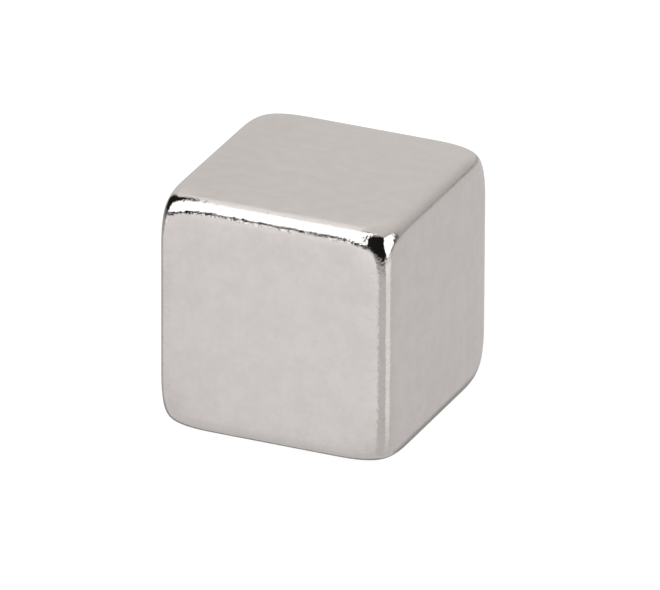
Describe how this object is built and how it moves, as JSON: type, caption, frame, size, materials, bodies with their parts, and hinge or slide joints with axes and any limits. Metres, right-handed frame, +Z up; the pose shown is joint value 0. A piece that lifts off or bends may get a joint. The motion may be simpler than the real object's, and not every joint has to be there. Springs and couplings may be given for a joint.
{
  "type": "block magnet",
  "caption": "Nickel-plated cube of permanent magnet with tumbled, rounded edges, which holds by any flat side to steel or to another magnet.",
  "frame": {"origin": "middle of the underside, on the surface the block rests on", "axes": "+Z up, -Y out of the front side, +X to the right seen from the front; the block is the same along all three"},
  "size_m": [0.01, 0.01, 0.01],
  "materials": {
    "nickel_plating": "bright nickel plating over a tumbled block, satin on the flat sides and mirror-like on the rounded edges"
  },
  "bodies": {
    "root": {"magnet_block": "nickel_plating"}
  },
  "joints": []
}
